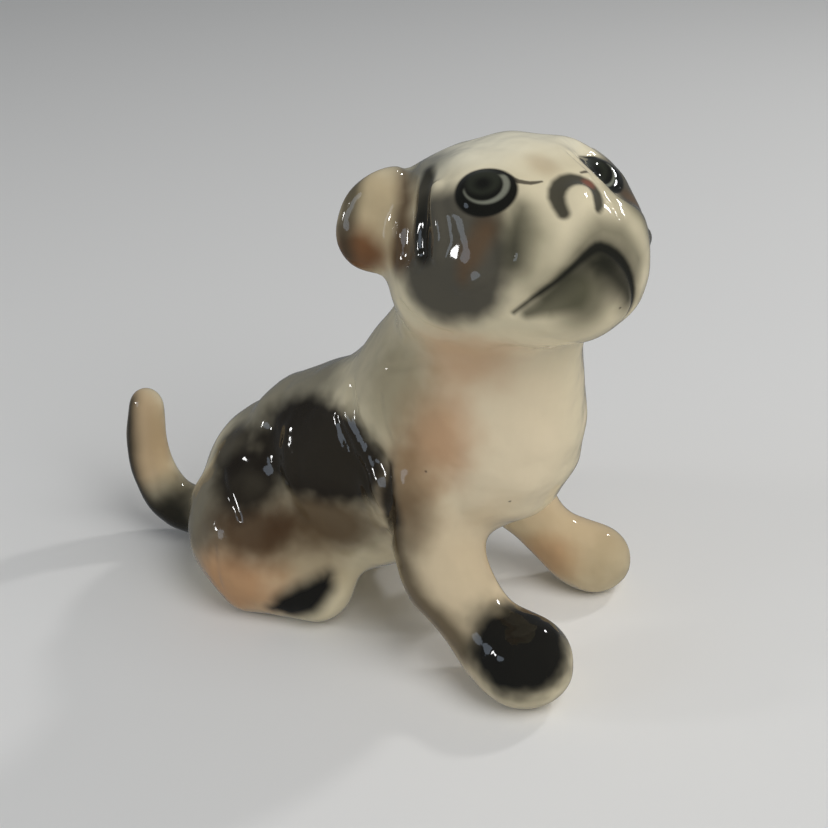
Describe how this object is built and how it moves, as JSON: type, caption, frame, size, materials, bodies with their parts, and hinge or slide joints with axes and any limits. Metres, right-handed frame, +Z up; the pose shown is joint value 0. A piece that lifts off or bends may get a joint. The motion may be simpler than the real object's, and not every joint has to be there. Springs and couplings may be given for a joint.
{
  "type": "ceramic dog figurine",
  "caption": "Small glazed porcelain puppy figurine, sitting with braced forelegs, head turned to its right and looking up.",
  "frame": {"origin": "on the ground plane, under the middle of the figure's bounding box", "axes": "+Z up, -Y the way the puppy's body faces, +X to the puppy's own left"},
  "size_m": [0.0386, 0.0776, 0.0691],
  "materials": {
    "torso_glaze": "clear high-gloss glaze over a dark brown airbrushed saddle on cream",
    "head_glaze": "clear high-gloss glaze over cream with a dark right cheek and hand-painted eyes, nose and mouth",
    "ear_glaze": "clear high-gloss glaze over beige with brown tips",
    "foreleg_glaze": "clear high-gloss glaze over cream, the right paw airbrushed black",
    "hind_leg_glaze": "clear high-gloss glaze over peach tan with a black patch on the foot",
    "tail_glaze": "clear high-gloss glaze over tan, dark grey at the root"
  },
  "bodies": {
    "root": {"torso": "torso_glaze", "head": "head_glaze", "right_ear": "ear_glaze", "left_ear": "ear_glaze", "right_foreleg": "foreleg_glaze", "left_foreleg": "foreleg_glaze", "right_hind_leg": "hind_leg_glaze", "left_hind_leg": "hind_leg_glaze", "tail": "tail_glaze"}
  },
  "joints": []
}
